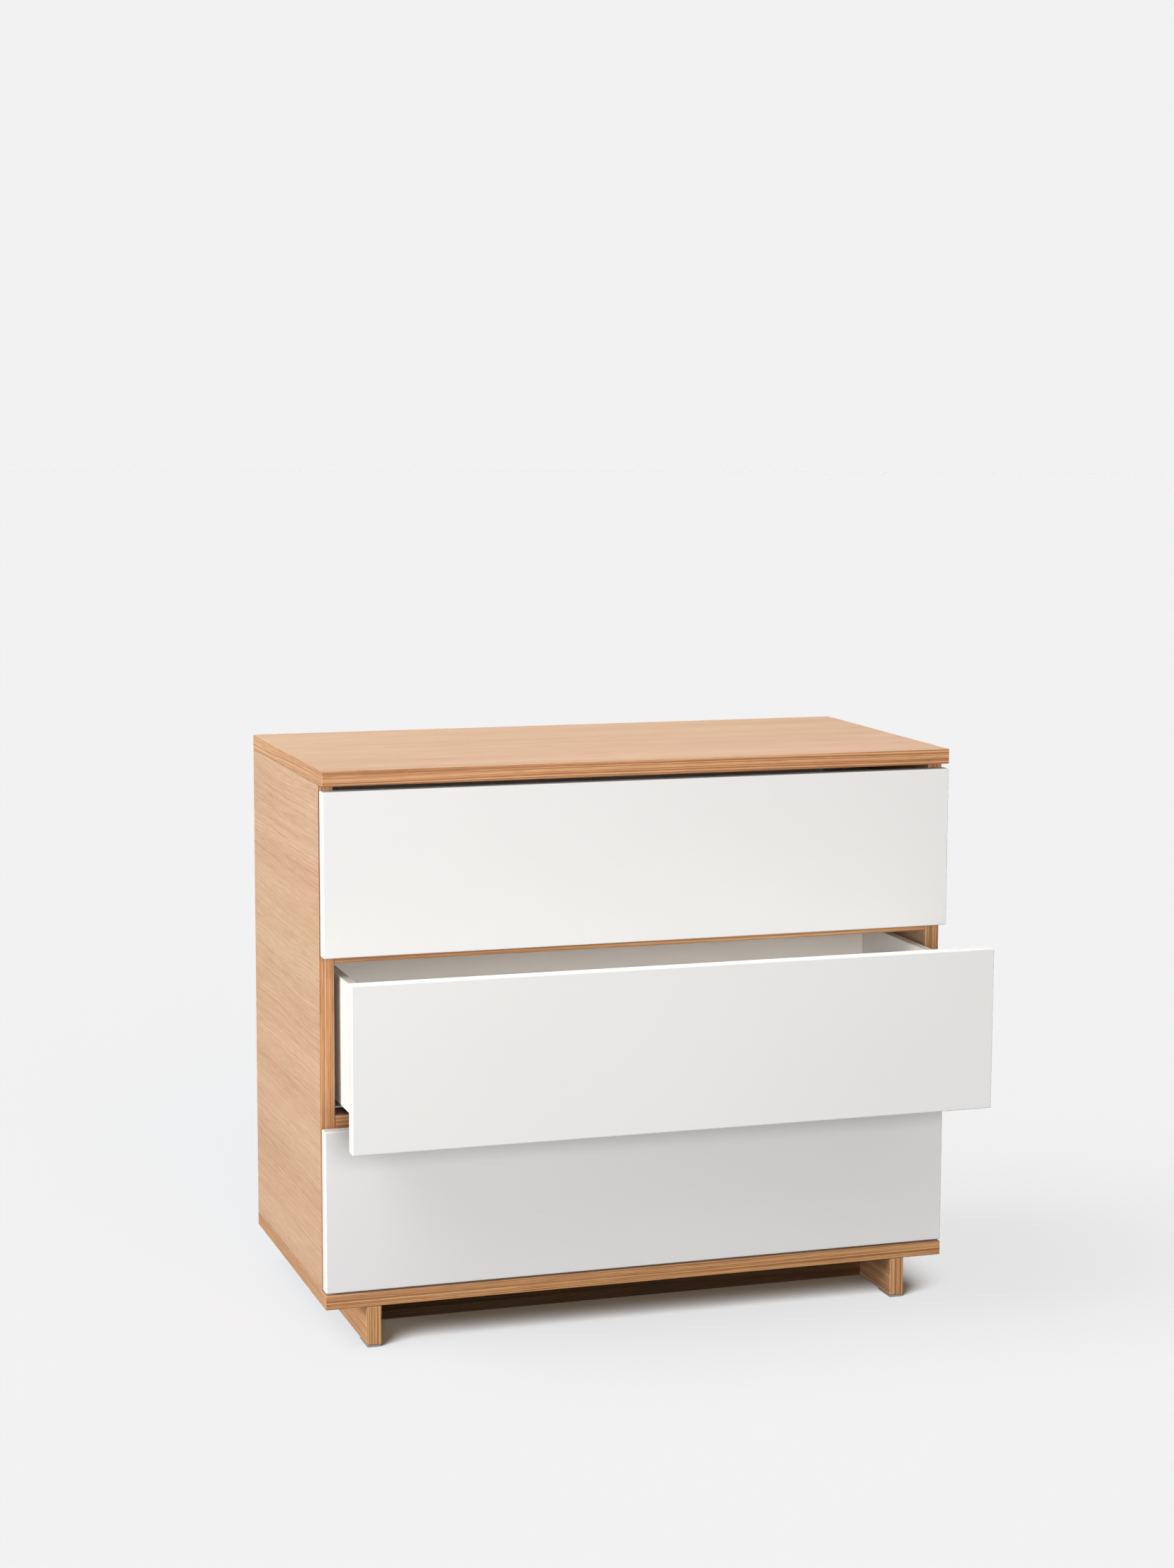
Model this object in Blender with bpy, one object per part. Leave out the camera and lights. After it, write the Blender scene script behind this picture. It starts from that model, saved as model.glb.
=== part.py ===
"""A chest of three drawers: an oak-veneered case on two runner feet, with white overlay drawer fronts.

Metres, +Z up, the floor at Z = 0. The chest faces -Y and +X is to its right. The middle drawer stands
partly open, and the origin is under the middle of the whole object as it stands then.
"""

import bpy
import bmesh
from mathutils import Vector

# ---------------------------------------------------------------- case
WIDTH = 0.900
DEPTH = 0.443  # front edge to rear edge of the top panel
CASE_HEIGHT = 0.730  # underside of the bottom panel to the top surface
TOP_THICK = 0.021
BOTTOM_THICK = 0.020
SIDE_THICK = 0.0205
SIDE_SETBACK = 0.025  # front edges of the sides and dividers, behind the top panel's front edge
DIVIDER_THICK = 0.020
OUTER_BAY = 0.2205  # clear height of the top and of the bottom drawer bay
BACK_THICK = 0.006
BACK_INSET = 0.008  # rear face of the back panel, in front of the case's rear edges
GROOVE_DEPTH = 0.006

# ---------------------------------------------------------------- feet
FOOT_THICK = 0.0205
FOOT_INSET = 0.0565  # outer face of a foot, in from the case's side
FOOT_HEIGHT = 0.057  # floor to the underside of the bottom panel, glide included
GLIDE_THICK = 0.003
GLIDE_LENGTH = 0.043
GLIDE_WIDTH = 0.0197
RAIL_SETBACK = 0.106  # face of a cross rail, in from the nearer end of the feet

# ---------------------------------------------------------------- drawers
FRONT_THICK = 0.0195
FRONT_HEIGHT = 0.2225
FRONT_PITCH = 0.2285  # from one front's lower edge to the next one's
LOWEST_GAP = 0.0028  # between the bottom panel and the lowest front
FRONT_PROUD = 0.001  # fronts stand this far forward of the case's front edges
FRONT_END_GAP = 0.0003  # a front is this much short of the case at each end
BOX_LENGTH = 0.350
BOX_HEIGHT = 0.175
BOX_BOARD = 0.013
BOX_WALL_GAP = 0.008  # between the box and the inner face of the case's side
BOX_LIFT = 0.0138  # underside of the box's sides, above the bay's floor
BASE_RECESS = 0.013  # underside of the drawer's bottom board, above the underside of its sides
BASE_THICK = 0.008
REST_OPENING = {"bottom": 0.0, "middle": 0.1573, "top": 0.0}

# ---------------------------------------------------------------- runners, hidden under the drawer boxes
SHEET = 0.0016  # steel of the moving members
CASE_SHEET = 0.0015  # steel of the member that is fixed to the case
BALL_GAP = 0.001  # room for the balls between two members
RIB_CENTRE = 0.035  # middle of the case member's rib, from the case's side
RIB_THICK = 0.003
RIB_TOP = 0.021  # heights from here on are above the bay's floor
WEB_TOP = 0.0124
CASE_MEMBER_WIDTH = 0.043
CASE_MEMBER_START = 0.002  # behind the front edge of the case's side
CASE_MEMBER_LENGTH = 0.350
WALL_FLANGE_SETBACK = 0.018  # the flange on the case's side starts this far behind the member's web
MIDDLE_MEMBER_START = 0.005
MIDDLE_MEMBER_LENGTH = 0.310
DRAWER_MEMBER_LENGTH = 0.345
MIDDLE_MEMBER_SHARE = 0.5  # a middle member travels half as far as its drawer

# ---------------------------------------------------------------- clips that hold a drawer on its runners
CLIP_LENGTH = 0.044
CLIP_WIDTH = 0.030
CLIP_PLATE = 0.0025  # thickness of the plate that is screwed under the drawer's bottom board
CLIP_HEAD_WIDTH = 0.013
CLIP_HEAD_HEIGHT = 0.010

# ---------------------------------------------------------------- finish
GAP = 0.0003  # between pieces that touch
OAK_ARRIS = 0.0010
FRONT_ARRIS = 0.0015
BOX_ARRIS = 0.0010
FOOT_ARRIS = 0.0012
GLIDE_ARRIS = 0.0008

HALF_WIDTH = WIDTH / 2
CASE_FRONT = (FRONT_PROUD + max(REST_OPENING.values()) - DEPTH) / 2
CASE_REAR = CASE_FRONT + DEPTH
SIDE_FRONT = CASE_FRONT + SIDE_SETBACK
INNER_WALL = HALF_WIDTH - SIDE_THICK
CASE_BOTTOM = FOOT_HEIGHT
CASE_TOP = CASE_BOTTOM + CASE_HEIGHT
FLOOR_OF_CASE = CASE_BOTTOM + BOTTOM_THICK
CEILING_OF_CASE = CASE_TOP - TOP_THICK
BACK_REAR = CASE_REAR - BACK_INSET
BACK_FRONT = BACK_REAR - BACK_THICK
LOWER_DIVIDER = FLOOR_OF_CASE + OUTER_BAY
UPPER_DIVIDER = CEILING_OF_CASE - OUTER_BAY - DIVIDER_THICK
BAY_FLOORS = {
    "bottom": FLOOR_OF_CASE,
    "middle": LOWER_DIVIDER + DIVIDER_THICK,
    "top": UPPER_DIVIDER + DIVIDER_THICK,
}
SIDES = {"left": -1, "right": 1}


def clear_scene():
    for obj in list(bpy.data.objects):
        bpy.data.objects.remove(obj, do_unlink=True)


def finish(name, colour, roughness, metallic=0.0, coat=0.0):
    """A Principled material with these values."""
    material = bpy.data.materials.new(name)
    material.use_nodes = True
    shader = material.node_tree.nodes["Principled BSDF"]
    shader.inputs["Base Color"].default_value = (*colour, 1.0)
    shader.inputs["Roughness"].default_value = roughness
    shader.inputs["Metallic"].default_value = metallic
    shader.inputs["Coat Weight"].default_value = coat
    material.diffuse_color = (*colour, 1.0)
    return material


def oak(name):
    return finish(name, (0.53, 0.33, 0.18), 0.55)


def white_lacquer(name):
    return finish(name, (0.82, 0.81, 0.79), 0.35, coat=0.15)


def white_foil(name):
    return finish(name, (0.78, 0.76, 0.72), 0.50)


def zinc(name):
    return finish(name, (0.62, 0.62, 0.63), 0.32, metallic=1.0)


def grey_plastic(name):
    return finish(name, (0.30, 0.29, 0.28), 0.60)


def slider(name, closed_at, opened):
    """An empty that carries the pieces of one sliding body, moved forward by how far it stands open."""
    empty = bpy.data.objects.new(name, None)
    empty["closed_at"] = closed_at
    empty.location = closed_at - Vector((0, opened, 0))
    bpy.context.scene.collection.objects.link(empty)
    return empty


def place_mesh(name, mesh, centre, material, parent):
    """Links the mesh as a named object at its centre, which is given for the closed chest."""
    mesh.name = name
    mesh.materials.append(material(name + "_finish"))
    obj = bpy.data.objects.new(name, mesh)
    bpy.context.scene.collection.objects.link(obj)
    obj.location = centre
    if parent:
        obj.parent = parent
        obj.location = centre - Vector(parent["closed_at"])
    return obj


def box_mesh(name, size):
    mesh = bpy.data.meshes.new(name)
    shape = bmesh.new()
    bmesh.ops.create_cube(shape, size=1.0)
    bmesh.ops.scale(shape, vec=size, verts=shape.verts)
    shape.to_mesh(mesh)
    shape.free()
    return mesh


def board(name, low, high, material, arris, parent=None):
    """A rectangular board between two corners, with its edges eased."""
    low, high = Vector(low), Vector(high)
    obj = place_mesh(name, box_mesh(name, high - low), (low + high) / 2, material, parent)
    eased = obj.modifiers.new("eased_edges", "BEVEL")
    eased.width = arris
    eased.segments = 2
    eased.limit_method = "ANGLE"
    return obj


def cut_out(obj, low, high):
    """Cuts a box, between two corners given for the closed chest, out of the object."""
    low, high = Vector(low), Vector(high)
    cutter = bpy.data.objects.new(obj.name + "_cutter", box_mesh("cutter", high - low))
    bpy.context.scene.collection.objects.link(cutter)
    cutter.location = (low + high) / 2
    if obj.parent:
        cutter.parent = obj.parent
        cutter.location -= Vector(obj.parent["closed_at"])
    cutter.hide_render = True
    cutter.display_type = "WIRE"
    cut = obj.modifiers.new("cut_out", "BOOLEAN")
    cut.operation = "DIFFERENCE"
    cut.solver = "EXACT"
    cut.object = cutter


def section(name, outline, side, bay_floor, start, length, material, parent=None):
    """An outline, as (distance from the case's side, height above the bay's floor), run backwards from start."""
    mesh = bpy.data.meshes.new(name)
    shape = bmesh.new()
    points = [Vector((side * (INNER_WALL - out), start, bay_floor + up)) for out, up in outline]
    centre = sum(points, Vector()) / len(points) + Vector((0, length / 2, 0))
    face = shape.faces.new([shape.verts.new(point - centre) for point in points])
    ends = bmesh.ops.extrude_face_region(shape, geom=[face])["geom"]
    bmesh.ops.translate(
        shape, vec=(0, length, 0), verts=[v for v in ends if isinstance(v, bmesh.types.BMVert)]
    )
    bmesh.ops.recalc_face_normals(shape, faces=shape.faces)
    shape.to_mesh(mesh)
    shape.free()
    return place_mesh(name, mesh, centre, material, parent)


def make_case():
    top = board(
        "top_panel",
        (-HALF_WIDTH, CASE_FRONT, CEILING_OF_CASE),
        (HALF_WIDTH, CASE_REAR, CASE_TOP),
        oak,
        OAK_ARRIS,
    )
    bottom = board(
        "bottom_panel",
        (-HALF_WIDTH, CASE_FRONT, CASE_BOTTOM),
        (HALF_WIDTH, CASE_REAR, FLOOR_OF_CASE),
        oak,
        OAK_ARRIS,
    )
    groove_front, groove_rear = BACK_FRONT - GAP, BACK_REAR + GAP
    groove_end = INNER_WALL + GROOVE_DEPTH
    cut_out(
        top,
        (-groove_end, groove_front, CEILING_OF_CASE - GROOVE_DEPTH),
        (groove_end, groove_rear, CEILING_OF_CASE + GROOVE_DEPTH),
    )
    cut_out(
        bottom,
        (-groove_end, groove_front, FLOOR_OF_CASE - GROOVE_DEPTH),
        (groove_end, groove_rear, FLOOR_OF_CASE + GROOVE_DEPTH),
    )
    for word, side in SIDES.items():
        xs = sorted((side * INNER_WALL, side * HALF_WIDTH))
        panel = board(
            f"side_panel_{word}",
            (xs[0], SIDE_FRONT, FLOOR_OF_CASE + GAP),
            (xs[1], CASE_REAR, CEILING_OF_CASE - GAP),
            oak,
            OAK_ARRIS,
        )
        cut = sorted((side * (INNER_WALL - GROOVE_DEPTH), side * (INNER_WALL + GROOVE_DEPTH)))
        cut_out(
            panel,
            (cut[0], groove_front, FLOOR_OF_CASE - GROOVE_DEPTH),
            (cut[1], groove_rear, CEILING_OF_CASE + GROOVE_DEPTH),
        )
    tongue = GROOVE_DEPTH - GAP
    board(
        "back_panel",
        (-INNER_WALL - tongue, BACK_FRONT, FLOOR_OF_CASE - tongue),
        (INNER_WALL + tongue, BACK_REAR, CEILING_OF_CASE + tongue),
        oak,
        OAK_ARRIS / 2,
    )
    for word, underside in (("lower", LOWER_DIVIDER), ("upper", UPPER_DIVIDER)):
        board(
            f"divider_{word}",
            (-INNER_WALL + GAP, SIDE_FRONT, underside),
            (INNER_WALL - GAP, BACK_FRONT - GAP, underside + DIVIDER_THICK),
            oak,
            OAK_ARRIS,
        )


def make_feet():
    foot_outer = HALF_WIDTH - FOOT_INSET
    foot_inner = foot_outer - FOOT_THICK
    underside, top = GLIDE_THICK, CASE_BOTTOM - GAP
    for word, side in SIDES.items():
        xs = sorted((side * foot_inner, side * foot_outer))
        board(
            f"foot_{word}",
            (xs[0], CASE_FRONT, underside),
            (xs[1], CASE_REAR, top),
            oak,
            FOOT_ARRIS,
        )
        middle = sum(xs) / 2
        for end, start in (("front", CASE_FRONT + GAP), ("rear", CASE_REAR - GAP - GLIDE_LENGTH)):
            board(
                f"glide_{end}_{word}",
                (middle - GLIDE_WIDTH / 2, start, 0),
                (middle + GLIDE_WIDTH / 2, start + GLIDE_LENGTH, GLIDE_THICK - GAP),
                grey_plastic,
                GLIDE_ARRIS,
            )
    rails = {
        "front": CASE_FRONT + RAIL_SETBACK,
        "rear": CASE_REAR - RAIL_SETBACK - FOOT_THICK,
    }
    for word, start in rails.items():
        board(
            f"plinth_rail_{word}",
            (-foot_inner + GAP, start, underside),
            (foot_inner - GAP, start + FOOT_THICK, top),
            oak,
            FOOT_ARRIS,
        )


def make_drawer(name, tier):
    """A front, two sides, a back and a bottom board, for one bay."""
    front_face = CASE_FRONT - FRONT_PROUD
    box_start = front_face + FRONT_THICK
    box_end = box_start + BOX_LENGTH
    underside = BAY_FLOORS[name] + BOX_LIFT
    parent = slider(f"drawer_{name}", Vector((0, front_face, underside)), REST_OPENING[name])
    rim = underside + BOX_HEIGHT
    base_low = underside + BASE_RECESS
    base_high = base_low + BASE_THICK
    box_outer = INNER_WALL - BOX_WALL_GAP
    box_inner = box_outer - BOX_BOARD
    base_reach = box_inner + GROOVE_DEPTH
    front_low = FLOOR_OF_CASE + LOWEST_GAP + tier * FRONT_PITCH

    front = board(
        f"drawer_{name}_front",
        (-HALF_WIDTH + FRONT_END_GAP, front_face, front_low),
        (HALF_WIDTH - FRONT_END_GAP, box_start, front_low + FRONT_HEIGHT),
        white_lacquer,
        FRONT_ARRIS,
        parent,
    )
    cut_out(
        front,
        (-base_reach, box_start - GROOVE_DEPTH, base_low - GAP),
        (base_reach, box_start + GROOVE_DEPTH, base_high + GAP),
    )
    for word, side in SIDES.items():
        xs = sorted((side * box_inner, side * box_outer))
        wall = board(
            f"drawer_{name}_side_{word}",
            (xs[0], box_start + GAP, underside),
            (xs[1], box_end, rim),
            white_foil,
            BOX_ARRIS,
            parent,
        )
        cut = sorted((side * (box_inner - GROOVE_DEPTH), side * base_reach))
        cut_out(
            wall,
            (cut[0], box_start - GROOVE_DEPTH, base_low - GAP),
            (cut[1], box_end + GROOVE_DEPTH, base_high + GAP),
        )
    board(
        f"drawer_{name}_base",
        (-base_reach + GAP, box_start - GROOVE_DEPTH + GAP, base_low),
        (base_reach - GAP, box_end, base_high),
        white_foil,
        BOX_ARRIS / 2,
        parent,
    )
    board(
        f"drawer_{name}_back",
        (-box_inner + GAP, box_end - BOX_BOARD, base_high + GAP),
        (box_inner - GAP, box_end, rim),
        white_foil,
        BOX_ARRIS,
        parent,
    )
    return parent


def case_member_outline():
    """A hat section that hangs on the case's side, with a rib along it for the middle member to ride on."""
    near, far = GAP, CASE_MEMBER_WIDTH
    foot, web_low = GAP, WEB_TOP - CASE_SHEET
    rib_near, rib_far = RIB_CENTRE - RIB_THICK / 2, RIB_CENTRE + RIB_THICK / 2
    return [
        (near, foot),
        (near + CASE_SHEET, foot),
        (near + CASE_SHEET, web_low),
        (far - CASE_SHEET, web_low),
        (far - CASE_SHEET, foot),
        (far, foot),
        (far, WEB_TOP),
        (rib_far, WEB_TOP),
        (rib_far, RIB_TOP),
        (rib_near, RIB_TOP),
        (rib_near, WEB_TOP),
        (near, WEB_TOP),
    ]


def channel_outline(inner_half, underside, plate):
    """A channel open at the bottom: its inner half width, the underside of its plate and the plate's thickness."""
    foot = WEB_TOP + BALL_GAP
    outer_half = inner_half + SHEET
    top = underside + plate
    return [
        (RIB_CENTRE - outer_half, foot),
        (RIB_CENTRE - inner_half, foot),
        (RIB_CENTRE - inner_half, underside),
        (RIB_CENTRE + inner_half, underside),
        (RIB_CENTRE + inner_half, foot),
        (RIB_CENTRE + outer_half, foot),
        (RIB_CENTRE + outer_half, top),
        (RIB_CENTRE - outer_half, top),
    ]


def clip_outline(near):
    """A plate under the drawer's bottom board, with a thicker head against the side of the drawer member."""
    top = BOX_LIFT + BASE_RECESS - GAP
    return [
        (near, top - CLIP_HEAD_HEIGHT),
        (near + CLIP_HEAD_WIDTH, top - CLIP_HEAD_HEIGHT),
        (near + CLIP_HEAD_WIDTH, top - CLIP_PLATE),
        (near + CLIP_WIDTH, top - CLIP_PLATE),
        (near + CLIP_WIDTH, top),
        (near, top),
    ]


def make_runners(name, drawer):
    """Both runners of a drawer: a member on the case, one under the drawer and one that slides between them,
    with the clip that holds the drawer to them.
    """
    floor = BAY_FLOORS[name]
    middle_start = SIDE_FRONT + MIDDLE_MEMBER_START
    travelled = MIDDLE_MEMBER_SHARE * REST_OPENING[name]
    parent = slider(f"slides_{name}", Vector((0, middle_start, floor + WEB_TOP)), travelled)
    middle_half = RIB_THICK / 2 + BALL_GAP
    middle_underside = RIB_TOP + BALL_GAP
    drawer_half = middle_half + SHEET + BALL_GAP
    drawer_underside = middle_underside + SHEET + BALL_GAP
    drawer_plate = BOX_LIFT + BASE_RECESS - GAP - drawer_underside
    drawer_start = CASE_FRONT - FRONT_PROUD + FRONT_THICK + GAP
    case_start = SIDE_FRONT + CASE_MEMBER_START
    for word, side in SIDES.items():
        case_member = section(
            f"runner_{name}_{word}_case_member",
            case_member_outline(),
            side,
            floor,
            case_start,
            CASE_MEMBER_LENGTH,
            zinc,
        )
        flange = sorted((side * INNER_WALL, side * (INNER_WALL - GAP - 2 * CASE_SHEET)))
        cut_out(
            case_member,
            (flange[0], case_start - WALL_FLANGE_SETBACK, floor - CASE_SHEET),
            (flange[1], case_start + WALL_FLANGE_SETBACK, floor + WEB_TOP - CASE_SHEET),
        )
        section(
            f"runner_{name}_{word}_middle_member",
            channel_outline(middle_half, middle_underside, SHEET),
            side,
            floor,
            middle_start,
            MIDDLE_MEMBER_LENGTH,
            zinc,
            parent,
        )
        section(
            f"runner_{name}_{word}_drawer_member",
            channel_outline(drawer_half, drawer_underside, drawer_plate),
            side,
            floor,
            drawer_start,
            DRAWER_MEMBER_LENGTH,
            zinc,
            drawer,
        )
        section(
            f"drawer_{name}_clip_{word}",
            clip_outline(RIB_CENTRE + drawer_half + SHEET + GAP),
            side,
            floor,
            drawer_start,
            CLIP_LENGTH,
            grey_plastic,
            drawer,
        )


def main():
    clear_scene()
    make_case()
    make_feet()
    for tier, name in enumerate(BAY_FLOORS):
        make_runners(name, make_drawer(name, tier))


main()
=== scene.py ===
"""The looks of a chest of three drawers: its oak, lacquer, foil, steel and plastic, and a plain studio.

Metres, +Z up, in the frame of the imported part. The chest faces -Y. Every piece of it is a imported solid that
keeps its shape: this script only gives materials, and makes the studio and the camera.
"""

import math

import bmesh
import bpy
from mathutils import Matrix, Vector


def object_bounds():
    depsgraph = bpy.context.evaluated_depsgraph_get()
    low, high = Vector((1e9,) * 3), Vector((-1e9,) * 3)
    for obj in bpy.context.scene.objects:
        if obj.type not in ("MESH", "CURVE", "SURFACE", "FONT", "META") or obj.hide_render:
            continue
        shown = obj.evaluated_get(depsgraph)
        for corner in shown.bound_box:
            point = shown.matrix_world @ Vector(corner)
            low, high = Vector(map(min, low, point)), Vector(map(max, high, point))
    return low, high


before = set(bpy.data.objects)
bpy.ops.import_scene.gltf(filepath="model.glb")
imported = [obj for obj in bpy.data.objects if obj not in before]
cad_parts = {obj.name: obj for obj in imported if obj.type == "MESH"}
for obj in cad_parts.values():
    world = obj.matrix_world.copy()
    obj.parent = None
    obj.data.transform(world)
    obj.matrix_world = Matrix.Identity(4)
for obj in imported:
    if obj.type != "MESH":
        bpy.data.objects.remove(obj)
CAD_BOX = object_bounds()

# ---------------------------------------------------------------- camera
CAMERA_PLACE = Vector((-1.3210, -3.9619, 1.2823))
CAMERA_YAW = 0.31315  # to the right of +Y
CAMERA_PITCH = 0.13011  # downwards
CAMERA_ROLL = -0.00356
CAMERA_LENS = 68.87  # mm, for a 36 mm long side
SENSOR = 36.0  # mm

# ---------------------------------------------------------------- studio
BACKGROUND = 0.887  # brightness of the dome, linear
DOME_RADIUS = 45.0
FLOOR_REACH = 60.0
SEEN_FLOOR = (0.1, 0.1, 0.1)  # reflectance of the floor that the camera sees
FLOOR_GLOW = (0.075, 0.060, 0.046)  # light of its own, so that the darkest shadow stays warm
LIGHTING_FLOOR = (0.44, 0.43, 0.42)  # reflectance of the floor that sends light back up
SHADED_FLOOR = (0.04, 0.04, 0.04)  # the same, darker, for the patch under and just before the chest: painted shade, standing in for the shade that falls there
SHADE = {"side": 0.46, "front": -0.34, "rear": 0.33}
# an unseen card just under the bottom panel, between the feet
FLAG = {"side": 0.372, "front": -0.141, "rear": 0.30, "height": 0.0566}
UNDER = 0.0005  # depth of the lighting floor below the seen one; the shaded patch lies halfway
SKY_LOW = 0.16  # strength of the sky at the horizon and below it
SKY_HIGH = 0.60  # and straight up
SKY_COLOUR = (1.0, 0.975, 0.945, 1.0)
SUN_DISTANCE = 5.0  # any would do
FLOOR_SUNS = {  # they light only the seen floor; where no blockers are named, everything casts a shadow
    "floor_sun": {
        "azimuth": -50.0,  # degrees, from -Y towards +X
        "elevation": 38.0,
        "angle": 34.0,
        "irradiance": (31.5, 33.3, 34.9),
        "blockers": ("foot_left", "foot_right", "plinth_rail_front", "plinth_rail_rear"),
    },
    "floor_sun_warm": {
        "azimuth": 0.0,
        "elevation": 26.0,
        "angle": 36.0,
        "irradiance": (3.58, 2.15, 1.07),
        "blockers": ("foot_left", "foot_right", "plinth_rail_front"),
    },
    "floor_sun_side": {
        "azimuth": -88.0,
        "elevation": 52.0,
        "angle": 45.0,
        "irradiance": (3.99, 3.99, 3.99),
        "blockers": (),
    },
}
LAMPS = {  # they leave out the seen floor, and the front one the rails too
    "left": {"place": (-4.9, -0.3, 0.85), "size": 1.8, "power": 218.0},
    "left_high": {"place": (-3.2, -3.2, 4.6), "size": 2.4, "power": 74.0},
    "front": {"place": (-0.9, -4.8, 1.30), "size": 1.6, "power": 143.0},
    "overhead": {"place": (0.0, 1.0, 4.4), "size": 2.0, "power": 128.0},
}

RAILS = ("plinth_rail_front", "plinth_rail_rear")

# ---------------------------------------------------------------- oak
VENEER = {
    "dark": (0.445, 0.260, 0.160),
    "middle": (0.525, 0.340, 0.222),
    "light": (0.605, 0.418, 0.288),
}
SOLID = {
    "dark": (0.320, 0.130, 0.044),
    "middle": (0.515, 0.245, 0.097),
    "light": (0.665, 0.378, 0.180),
}
PINKER = (1.020, 0.985, 0.975)  # times the colour, as the next one
YELLOWER = (0.990, 1.005, 0.960)
FACES = 0.7  # a face looks along an axis where that part of its normal is larger than this
THROUGH_CELLS = 9.0  # cells of noise in a metre, into the board
GRAIN = {  # cells of noise in a metre, along and across the grain
    "sway": (2.2, 6.0),
    "fibres": (20.0, 950.0),
    "pores": (42.0, 1150.0),
    "bands": (0.9, 17.0),
    "hue": (0.6, 7.0),
}
LINES_ALONG = 0.9  # the same for the growth lines
LINES_ACROSS = (360.0, 520.0)  # on flat veneer and on an edge, as all pairs from here on
SWAY = (0.030, 0.0065)  # metres
LINES_STRENGTH = (1.20, 3.70)
FIBRES_STRENGTH = (1.90, 1.10)
BANDS_STRENGTH = (1.00, 0.60)
PORES_STRENGTH = (-0.22, -0.28)


# ================================================================ shader nodes
def add(tree, kind, inputs=None, **settings):
    """A new node, with each input either linked from a socket or set to a value."""
    made = tree.nodes.new(kind)
    for name, value in settings.items():
        setattr(made, name, value)
    for key, value in (inputs or {}).items():
        if isinstance(value, bpy.types.NodeSocket):
            tree.links.new(value, made.inputs[key])
        else:
            made.inputs[key].default_value = value
    return made


def calc(tree, operation, *values, clamp=False):
    """The result of a Math node on sockets or numbers."""
    made = add(tree, "ShaderNodeMath", dict(enumerate(values)), operation=operation, use_clamp=clamp)
    return made.outputs[0]


def blend_values(tree, factor, low, high):
    """low where the factor is 0 and high where it is 1."""
    made = add(tree, "ShaderNodeMapRange", {"Value": factor, "To Min": low, "To Max": high})
    return made.outputs["Result"]


def blend_colours(tree, factor, low, high, mode="MIX"):
    """low where the factor is 0 and high where it is 1, or their mix in another mode."""
    made = add(tree, "ShaderNodeMix", data_type="RGBA", blend_type=mode)
    for key, value in ((0, factor), (6, low), (7, high)):
        if isinstance(value, bpy.types.NodeSocket):
            tree.links.new(value, made.inputs[key])
        else:
            made.inputs[key].default_value = value if key == 0 else (*value, 1.0)
    return made.outputs[2]


def noise(tree, vector, detail=2.0, roughness=0.5):
    """Noise of one cell a unit, from 0 to 1 round 0.5."""
    made = add(
        tree,
        "ShaderNodeTexNoise",
        {"Vector": vector, "Scale": 1.0, "Detail": detail, "Roughness": roughness},
        noise_dimensions="3D",
    )
    return made.outputs["Fac"]


def stretched(tree, along, across, through, cells_along, cells_across, seed):
    """A vector for noise with so many cells a metre along and across the grain."""
    u = calc(tree, "MULTIPLY", along, cells_along)
    v = calc(tree, "MULTIPLY", across, cells_across)
    w = calc(tree, "MULTIPLY_ADD", through, THROUGH_CELLS, seed)
    return add(tree, "ShaderNodeCombineXYZ", {"X": u, "Y": v, "Z": w}).outputs[0]


def new_material(name):
    """A material with an empty Principled shader, as (material, tree, shader)."""
    material = bpy.data.materials.new(name)
    material.use_nodes = True
    tree = material.node_tree
    return material, tree, tree.nodes["Principled BSDF"]


def object_axes(tree):
    """The object coordinates, in metres, by axis name."""
    place = add(tree, "ShaderNodeTexCoord").outputs["Object"]
    split = add(tree, "ShaderNodeSeparateXYZ", {0: place})
    return {axis: split.outputs[axis] for axis in "XYZ"}


def face_masks(tree):
    """For X and Y, 1 on the faces that look along it and 0 elsewhere; for Z, 1 where both of those are 0."""
    normal = add(tree, "ShaderNodeNewGeometry").outputs["True Normal"]
    split = add(tree, "ShaderNodeSeparateXYZ", {0: normal})
    masks = {}
    for axis in "XY":
        size = calc(tree, "ABSOLUTE", split.outputs[axis])
        masks[axis] = calc(tree, "GREATER_THAN", size, FACES)
    rest = calc(tree, "ADD", masks["X"], masks["Y"])
    masks["Z"] = calc(tree, "SUBTRACT", 1.0, rest, clamp=True)
    return masks


def pick(tree, masks, choices):
    """The sum of each axis's choice where its mask is 1."""
    total = 0.0
    for axis, choice in choices.items():
        total = calc(tree, "MULTIPLY_ADD", masks[axis], choice, total)
    return total


def three_tones(tree, factor, tones):
    """A colour between a wood's dark, middle and light tones."""
    ramp = add(tree, "ShaderNodeValToRGB", {0: factor})
    stops = ramp.color_ramp.elements
    stops[0].position = 0.0
    stops[0].color = (*tones["dark"], 1.0)
    stops[1].position = 1.0
    stops[1].color = (*tones["light"], 1.0)
    stops.new(0.5).color = (*tones["middle"], 1.0)
    return ramp.outputs["Color"]


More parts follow.
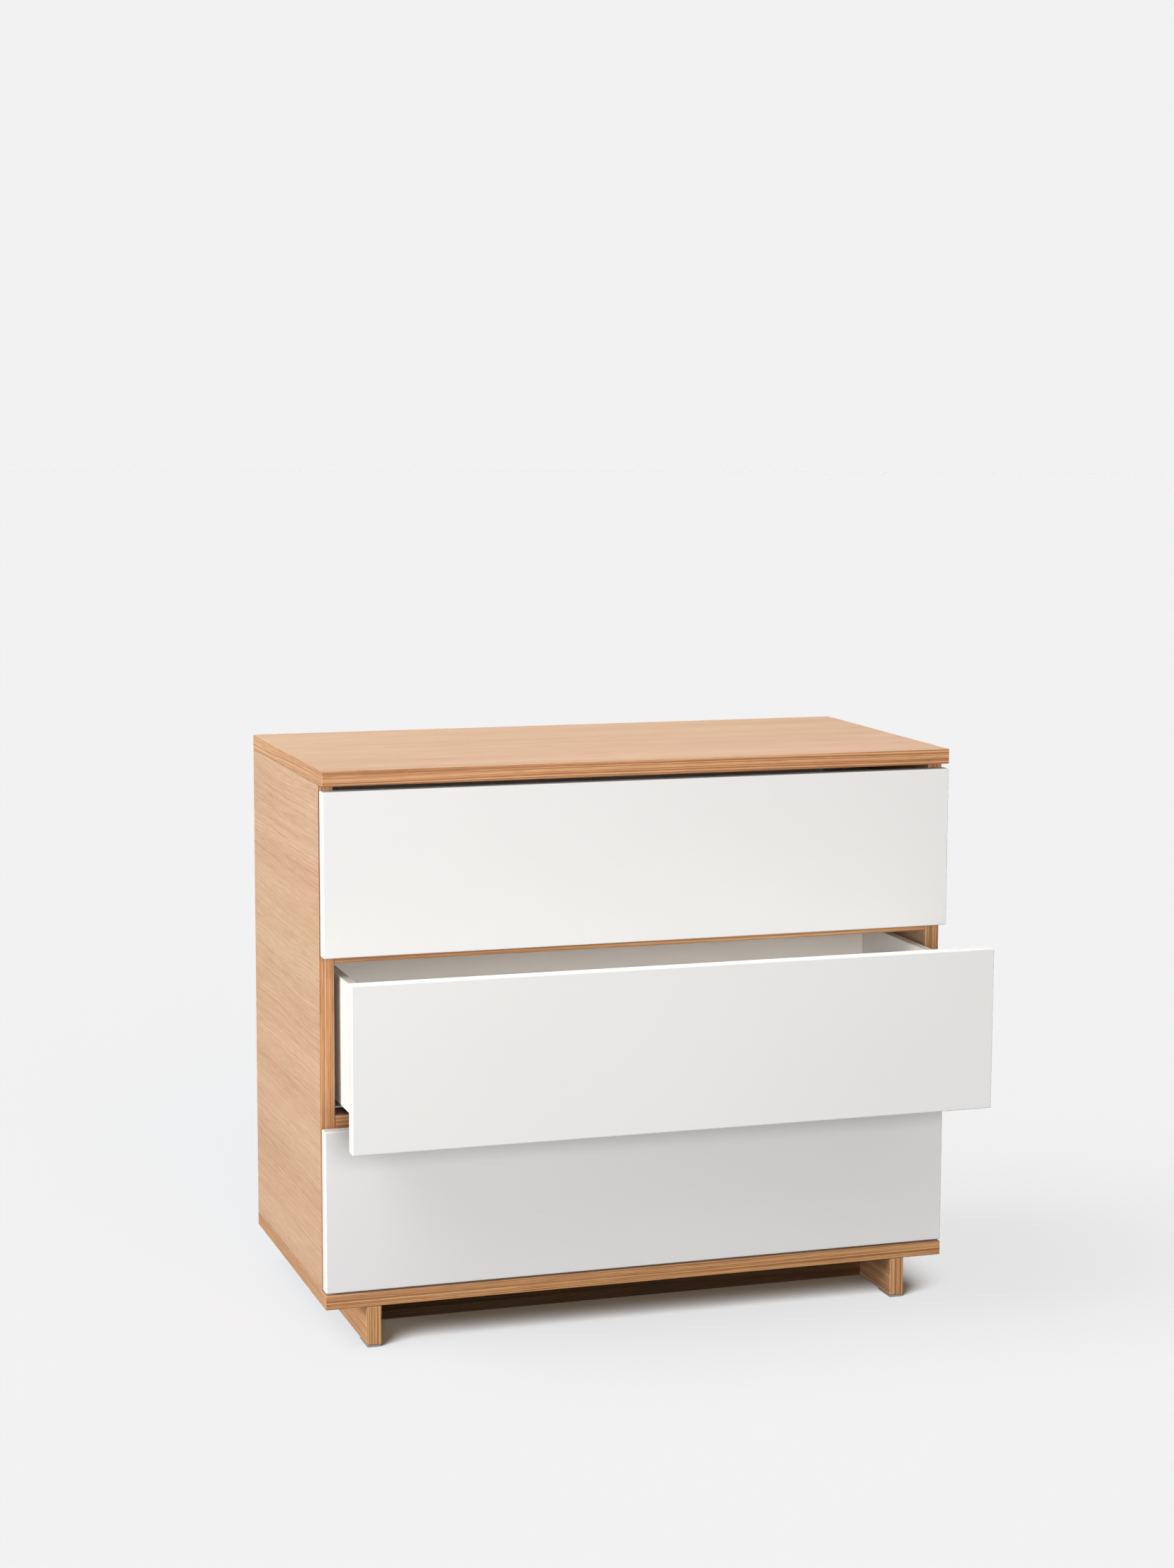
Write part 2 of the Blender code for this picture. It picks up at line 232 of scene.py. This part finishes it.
# ================================================================ materials
def oak(name, seed, faces):
    """Oak whose grain runs as faces says: for each axis that a face looks along, the axis of the grain, the
    axis across it, and how far that face goes from flat veneer (0) to the growth lines of an edge (1).
    """
    material, tree, shader = new_material(name)
    axes = object_axes(tree)
    masks = face_masks(tree)
    along = pick(tree, masks, {axis: axes[grain] for axis, (grain, _, _) in faces.items()})
    across = pick(tree, masks, {axis: axes[side] for axis, (_, side, _) in faces.items()})
    through = pick(tree, masks, {axis: axes[axis] for axis in faces})
    edge = pick(tree, masks, {axis: float(kind) for axis, (_, _, kind) in faces.items()})

    sway = noise(tree, stretched(tree, along, across, through, *GRAIN["sway"], seed), 1.0)
    sway = calc(tree, "SUBTRACT", sway, 0.5)
    reach = blend_values(tree, edge, *SWAY)
    figured = calc(tree, "MULTIPLY_ADD", sway, reach, across)

    lines_across = blend_values(tree, edge, *LINES_ACROSS)
    lines = stretched(tree, along, figured, through, LINES_ALONG, lines_across, seed + 3.7)
    lines = noise(tree, lines, 2.0, 0.55)
    fibres = noise(tree, stretched(tree, along, figured, through, *GRAIN["fibres"], seed + 9.1), 2.0, 0.6)
    pores = noise(tree, stretched(tree, along, figured, through, *GRAIN["pores"], seed + 17.3), 1.0)
    pores = add(
        tree, "ShaderNodeMapRange", {"Value": pores, "From Min": 0.57, "From Max": 0.70}, clamp=True
    ).outputs["Result"]
    bands = noise(tree, stretched(tree, along, across, through, *GRAIN["bands"], seed + 23.9), 3.0, 0.6)
    hue = noise(tree, stretched(tree, along, across, through, *GRAIN["hue"], seed + 31.3), 1.0)

    shade = 0.5
    for part, strengths in (
        (lines, LINES_STRENGTH),
        (fibres, FIBRES_STRENGTH),
        (bands, BANDS_STRENGTH),
    ):
        strength = blend_values(tree, edge, *strengths)
        centred = calc(tree, "SUBTRACT", part, 0.5)
        shade = calc(tree, "MULTIPLY_ADD", centred, strength, shade)
    pore_depth = blend_values(tree, edge, *PORES_STRENGTH)
    shade = calc(tree, "MULTIPLY_ADD", pores, pore_depth, shade, clamp=True)

    veneer = three_tones(tree, shade, VENEER)
    solid = three_tones(tree, shade, SOLID)
    colour = blend_colours(tree, edge, veneer, solid)
    hue = add(
        tree, "ShaderNodeMapRange", {"Value": hue, "From Min": 0.35, "From Max": 0.65}, clamp=True
    ).outputs["Result"]
    tint = blend_colours(tree, hue, YELLOWER, PINKER)
    colour = blend_colours(tree, 1.0, colour, tint, "MULTIPLY")
    tree.links.new(colour, shader.inputs["Base Color"])

    relief = calc(tree, "MULTIPLY_ADD", pores, -0.8, fibres)
    bump = add(tree, "ShaderNodeBump", {"Strength": 0.35, "Distance": 0.00012, "Height": relief})
    tree.links.new(bump.outputs[0], shader.inputs["Normal"])
    gloss = blend_values(tree, lines, 0.60, 0.50)
    tree.links.new(gloss, shader.inputs["Roughness"])
    return material


def lacquer(name, seed):
    """Satin white paint on smooth fibreboard, with the faintest orange peel."""
    material, tree, shader = new_material(name)
    place = add(tree, "ShaderNodeTexCoord").outputs["Object"]
    cloud = add(tree, "ShaderNodeTexNoise", {"Vector": place, "Scale": 3.0 + 0.1 * seed, "Detail": 1.0})
    colour = blend_colours(tree, cloud.outputs["Fac"], (0.775, 0.771, 0.762), (0.793, 0.790, 0.782))
    tree.links.new(colour, shader.inputs["Base Color"])
    peel = add(tree, "ShaderNodeTexNoise", {"Vector": place, "Scale": 380.0, "Detail": 2.0})
    bump = add(tree, "ShaderNodeBump", {"Strength": 0.10, "Distance": 0.00008, "Height": peel.outputs["Fac"]})
    tree.links.new(bump.outputs[0], shader.inputs["Normal"])
    shader.inputs["Roughness"].default_value = 0.36
    return material


def foil(name, low, high):
    """White foil of the drawer boxes: half glossy, with a fine printed grain in its surface."""
    material, tree, shader = new_material(name)
    axes = object_axes(tree)
    fine = noise(tree, stretched(tree, axes["Y"], axes["Z"], axes["X"], 120.0, 1400.0, 2.0), 2.0)
    colour = blend_colours(tree, fine, low, high)
    tree.links.new(colour, shader.inputs["Base Color"])
    bump = add(tree, "ShaderNodeBump", {"Strength": 0.15, "Distance": 0.00005, "Height": fine})
    tree.links.new(bump.outputs[0], shader.inputs["Normal"])
    shader.inputs["Roughness"].default_value = 0.30
    return material


def zinc(name):
    """Zinc-plated rolled steel, with fine lines along the rolling direction."""
    material, tree, shader = new_material(name)
    axes = object_axes(tree)
    rolled = noise(tree, stretched(tree, axes["Y"], axes["X"], axes["Z"], 8.0, 2600.0, 5.0), 2.0)
    bloom = noise(tree, stretched(tree, axes["Y"], axes["X"], axes["Z"], 60.0, 60.0, 11.0), 2.0)
    colour = blend_colours(tree, bloom, (0.56, 0.57, 0.58), (0.70, 0.70, 0.69))
    tree.links.new(colour, shader.inputs["Base Color"])
    tree.links.new(blend_values(tree, rolled, 0.26, 0.44), shader.inputs["Roughness"])
    bump = add(tree, "ShaderNodeBump", {"Strength": 0.2, "Distance": 0.00004, "Height": rolled})
    tree.links.new(bump.outputs[0], shader.inputs["Normal"])
    shader.inputs["Metallic"].default_value = 1.0
    return material


def plastic(name, low, high):
    """Moulded plastic with a fine spark-eroded grain."""
    material, tree, shader = new_material(name)
    place = add(tree, "ShaderNodeTexCoord").outputs["Object"]
    grain = add(tree, "ShaderNodeTexNoise", {"Vector": place, "Scale": 2200.0, "Detail": 2.0}).outputs["Fac"]
    tree.links.new(blend_colours(tree, grain, low, high), shader.inputs["Base Color"])
    bump = add(tree, "ShaderNodeBump", {"Strength": 0.3, "Distance": 0.00006, "Height": grain})
    tree.links.new(bump.outputs[0], shader.inputs["Normal"])
    shader.inputs["Roughness"].default_value = 0.55
    return material


FLAT_BOARD = {"X": ("Y", "Z", 0.55), "Y": ("X", "Z", 1), "Z": ("X", "Y", 0)}
UPRIGHT = {"X": ("Y", "Z", 0), "Y": ("Z", "X", 1), "Z": ("Y", "X", 0)}
# the feet's sides (X) lean 0.7 towards the darker, stronger-lined edge tones as painted shade, standing in for
# the shade under the bottom panel
FOOT = {"X": ("Y", "Z", 0.7), "Y": ("Z", "X", 1), "Z": ("Y", "X", 0)}
RAIL = {"X": ("Y", "Z", 1), "Y": ("X", "Z", 0.8), "Z": ("X", "Y", 1)}
BACK = {"X": ("Z", "Y", 0), "Y": ("Z", "X", 0), "Z": ("X", "Y", 0)}
OAK_BOARDS = {
    "top_panel": FLAT_BOARD,
    "bottom_panel": FLAT_BOARD,
    "side_panel_left": UPRIGHT,
    "side_panel_right": UPRIGHT,
    "back_panel": BACK,
    "divider_lower": FLAT_BOARD,
    "divider_upper": FLAT_BOARD,
    "foot_left": FOOT,
    "foot_right": FOOT,
    "plinth_rail_front": RAIL,
    "plinth_rail_rear": RAIL,
}


def dress(nodes):
    """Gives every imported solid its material."""
    shared = {
        "foil": foil("white_foil", (0.880, 0.868, 0.845), (0.905, 0.893, 0.870)),
        # the drawers' backs: the same foil made brighter and warmer as painted light, standing in for the warm
        # light bounced onto them from the oak
        "back": foil("back_foil_painted_bounce", (0.915, 0.875, 0.815), (0.935, 0.895, 0.838)),
        "base": foil("base_foil", (0.800, 0.782, 0.750), (0.830, 0.812, 0.780)),
        "zinc": zinc("zinc_plated_steel"),
        "glide": plastic("glide_plastic", (0.26, 0.25, 0.24), (0.34, 0.33, 0.32)),
        "clip": plastic("clip_plastic", (0.38, 0.39, 0.40), (0.46, 0.47, 0.48)),
    }
    for order, (name, obj) in enumerate(sorted(nodes.items())):
        if name in OAK_BOARDS:
            material = oak(f"oak_{name}", 5.3 * (order + 1), OAK_BOARDS[name])
        elif name.endswith("_front") and name.startswith("drawer_"):
            material = lacquer(f"lacquer_{name}", order)
        elif name.startswith("runner_"):
            material = shared["zinc"]
        elif name.startswith("glide_"):
            material = shared["glide"]
        elif "_clip_" in name:
            material = shared["clip"]
        elif name.endswith("_base"):
            material = shared["base"]
        elif name.startswith("drawer_") and name.endswith("_back"):
            material = shared["back"]
        else:
            material = shared["foil"]
        obj.data.materials.clear()
        obj.data.materials.append(material)


# ================================================================ studio
def make_camera():
    """The camera that was solved from the edges of the chest in the photo, without lens distortion."""
    sin, cos = math.sin, math.cos
    ahead = Vector(
        (
            sin(CAMERA_YAW) * cos(CAMERA_PITCH),
            cos(CAMERA_YAW) * cos(CAMERA_PITCH),
            -sin(CAMERA_PITCH),
        )
    )
    level = Vector((cos(CAMERA_YAW), -sin(CAMERA_YAW), 0))
    down = ahead.cross(level)
    right = cos(CAMERA_ROLL) * level + sin(CAMERA_ROLL) * down
    lower = cos(CAMERA_ROLL) * down - sin(CAMERA_ROLL) * level
    data = bpy.data.cameras.new("camera")
    data.lens = CAMERA_LENS
    data.sensor_width = SENSOR
    data.clip_end = 2 * FLOOR_REACH
    camera = bpy.data.objects.new("camera", data)
    bpy.context.scene.collection.objects.link(camera)
    turn = Matrix((right, -lower, -ahead)).transposed()
    camera.matrix_world = Matrix.Translation(CAMERA_PLACE) @ turn.to_4x4()
    bpy.context.scene.camera = camera


def stage_mesh(name, mesh, colour, glow=(0.0, 0.0, 0.0)):
    """A plain object of the studio, which is no part of the chest."""
    obj = bpy.data.objects.new(name, mesh)
    bpy.context.scene.collection.objects.link(obj)
    material, _, shader = new_material(name)
    shader.inputs["Base Color"].default_value = (*colour, 1.0)
    shader.inputs["Roughness"].default_value = 1.0
    shader.inputs["Specular IOR Level"].default_value = 0.0
    shader.inputs["Emission Color"].default_value = (*glow, 1.0)
    shader.inputs["Emission Strength"].default_value = 1.0
    mesh.materials.append(material)
    return obj


def make_floor(name, height, side, front, rear, reflectance, glow=(0.0, 0.0, 0.0)):
    """A level rectangle from x = -side to side and y = front to rear."""
    mesh = bpy.data.meshes.new(name)
    corners = [(-side, front, height), (side, front, height), (side, rear, height), (-side, rear, height)]
    mesh.from_pydata(corners, [], [(0, 1, 2, 3)])
    return stage_mesh(name, mesh, reflectance, glow)


def make_backdrop():
    """A pale dome all round, seen only by the camera."""
    mesh = bpy.data.meshes.new("backdrop")
    shape = bmesh.new()
    bmesh.ops.create_icosphere(shape, subdivisions=4, radius=DOME_RADIUS)
    shape.to_mesh(mesh)
    shape.free()
    backdrop = stage_mesh("backdrop", mesh, (0.0, 0.0, 0.0), (BACKGROUND,) * 3)
    backdrop.visible_diffuse = False
    backdrop.visible_glossy = False
    backdrop.visible_transmission = False
    backdrop.visible_shadow = False
    return backdrop


def link_light(light, objects, state):
    """Lets a light reach only these objects (INCLUDE) or everything but these (EXCLUDE)."""
    group = bpy.data.collections.new(light.name + "_reach")
    for obj in objects:
        group.objects.link(obj)
    for member in group.collection_objects:
        member.light_linking.link_state = state
    light.light_linking.receiver_collection = group


def block_light(light, objects):
    """Lets only these objects cast a shadow in a light."""
    group = bpy.data.collections.new(light.name + "_blockers")
    for obj in objects:
        group.objects.link(obj)
    light.light_linking.blocker_collection = group


def make_light(name, kind, place, target, **settings):
    """A light at a place that shines towards a target and is not seen itself."""
    data = bpy.data.lights.new(name, kind)
    for key, value in settings.items():
        setattr(data, key, value)
    light = bpy.data.objects.new(name, data)
    bpy.context.scene.collection.objects.link(light)
    light.location = place
    light.rotation_mode = "QUATERNION"
    light.rotation_quaternion = (target - place).to_track_quat("-Z", "Y")
    light.visible_camera = False
    return light


def make_sky():
    """Soft light from all round, stronger from above."""
    world = bpy.data.worlds.new("studio")
    world.use_nodes = True
    tree = world.node_tree
    direction = add(tree, "ShaderNodeTexCoord").outputs["Generated"]
    height = add(tree, "ShaderNodeSeparateXYZ", {0: direction}).outputs["Z"]
    strength = add(tree, "ShaderNodeMapRange", {"Value": height, "To Min": SKY_LOW, "To Max": SKY_HIGH})
    background = tree.nodes["Background"]
    background.inputs["Color"].default_value = SKY_COLOUR
    tree.links.new(strength.outputs["Result"], background.inputs["Strength"])
    bpy.context.scene.world = world


def make_studio():
    """Sky, dome, floors, floor suns and lamps. Light linking keeps the floor as bright as the photo's and its
    shadow as soft, so the light is not physically consistent.
    """
    bpy.context.scene.view_settings.view_transform = "Standard"
    make_sky()
    make_backdrop()
    reach = FLOOR_REACH
    seen = make_floor("floor", 0.0, reach, -reach, reach, SEEN_FLOOR, FLOOR_GLOW)
    seen.visible_diffuse = False
    seen.visible_glossy = False
    lighting = make_floor("floor_bounce", -UNDER, reach, -reach, reach, LIGHTING_FLOOR)
    lighting.visible_camera = False
    # painted shade: this dark patch of the lighting floor stands in for the shade under and just before the
    # chest
    shaded = make_floor("floor_shade", -UNDER / 2, SHADE["side"], SHADE["front"], SHADE["rear"], SHADED_FLOOR)
    shaded.visible_camera = False
    flag = make_floor("flag", FLAG["height"], FLAG["side"], FLAG["front"], FLAG["rear"], SHADED_FLOOR)
    flag.visible_camera = False
    flag.visible_diffuse = False
    flag.visible_glossy = False
    low, high = CAD_BOX
    centre = (low + high) / 2
    for name, sun in FLOOR_SUNS.items():
        azimuth = math.radians(sun["azimuth"])
        elevation = math.radians(sun["elevation"])
        level = math.cos(elevation)
        towards = Vector((math.sin(azimuth) * level, -math.cos(azimuth) * level, math.sin(elevation)))
        angle = math.radians(sun["angle"])
        light = make_light(name, "SUN", centre + SUN_DISTANCE * towards, centre, angle=angle)
        light.data.energy = max(sun["irradiance"])
        light.data.color = [part / light.data.energy for part in sun["irradiance"]]
        link_light(light, [seen], "INCLUDE")
        if sun["blockers"]:
            block_light(light, [flag, *(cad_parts[blocker] for blocker in sun["blockers"])])
    rails = [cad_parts[name] for name in RAILS]
    for name, lamp in LAMPS.items():
        place = Vector(lamp["place"])
        light = make_light(name, "AREA", place, centre, energy=lamp["power"], size=lamp["size"])
        link_light(light, [seen, *rails] if name == "front" else [seen], "EXCLUDE")


# ================================================================ whole scene
dress(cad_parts)
make_studio()
make_camera()
